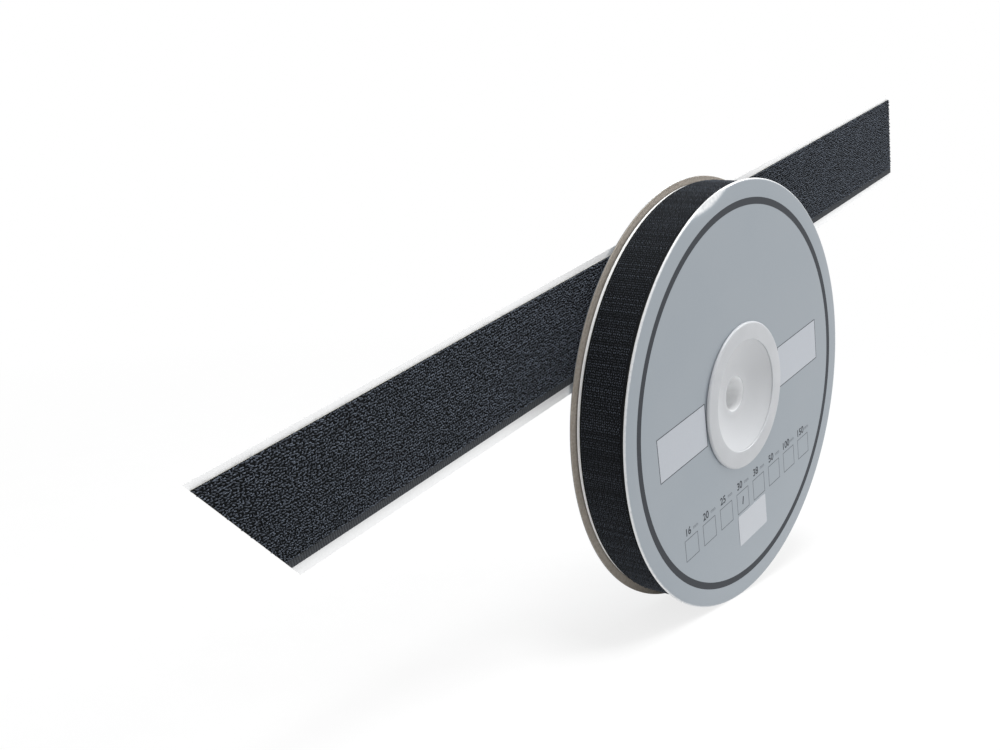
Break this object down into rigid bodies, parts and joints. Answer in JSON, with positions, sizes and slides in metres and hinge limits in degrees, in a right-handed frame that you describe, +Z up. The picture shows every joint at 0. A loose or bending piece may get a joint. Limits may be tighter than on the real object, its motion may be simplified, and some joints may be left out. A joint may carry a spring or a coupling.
{
  "type": "hook and loop tape roll",
  "caption": "Reel of black self-adhesive hook tape between round board flanges on a dished plastic hub, and a cut length of wider tape set against its back, with an end that peels off its liner.",
  "frame": {"origin": "on the table under the middle of the whole set, reel and cut length together", "axes": "+Z up; the reel's axis is along Y with its printed side facing -Y; +X runs to the right as the printed side is read"},
  "size_m": [0.7388, 0.0436, 0.3322],
  "materials": {
    "greyboard": "raw grey-brown board, matt and fibrous",
    "printed_paper": "satin silver-grey coated paper with dark grey print",
    "core_board": "raw brown spiral-wound board",
    "hub_plastic": "satin white moulded plastic",
    "hook_tape": "black woven nylon with a dense hook pile",
    "adhesive": "clear tacky film",
    "release_liner": "smooth white siliconed liner",
    "sticker": "plain white paper label"
  },
  "bodies": {
    "reel": {"near_flange_board": "greyboard", "near_flange_facing": "printed_paper", "far_flange_board": "greyboard", "far_flange_facing": "printed_paper", "core_tube": "core_board", "near_hub_plug": "hub_plastic", "far_hub_plug": "hub_plastic", "inner_turns": "hook_tape", "outer_turn_hook_tape": "hook_tape", "outer_turn_adhesive": "adhesive", "outer_turn_liner": "release_liner", "width_sticker": "sticker", "strip_liner": "release_liner", "strip_adhesive": "adhesive", "strip_hook_tape": "hook_tape"},
    "tape_end": {"tape_end_hook_tape": "hook_tape", "tape_end_adhesive": "adhesive", "tape_end_liner": "release_liner"},
    "strip_end": {"strip_end_hook_tape": "hook_tape", "strip_end_adhesive": "adhesive"}
  },
  "joints": [
    {"name": "tape_end_lift", "type": "hinge", "parent": "reel", "child": "tape_end", "pos_m": [0.07125, -0.0003, 0.27581], "axis": [0, -1, 0], "range_deg": [0, 75]},
    {"name": "backing_peel", "type": "hinge", "parent": "reel", "child": "strip_end", "pos_m": [-0.26018, 0.01977, 0.15847], "axis": [-0.2198, 0, 0.9755], "range_deg": [0, 70]}
  ]
}
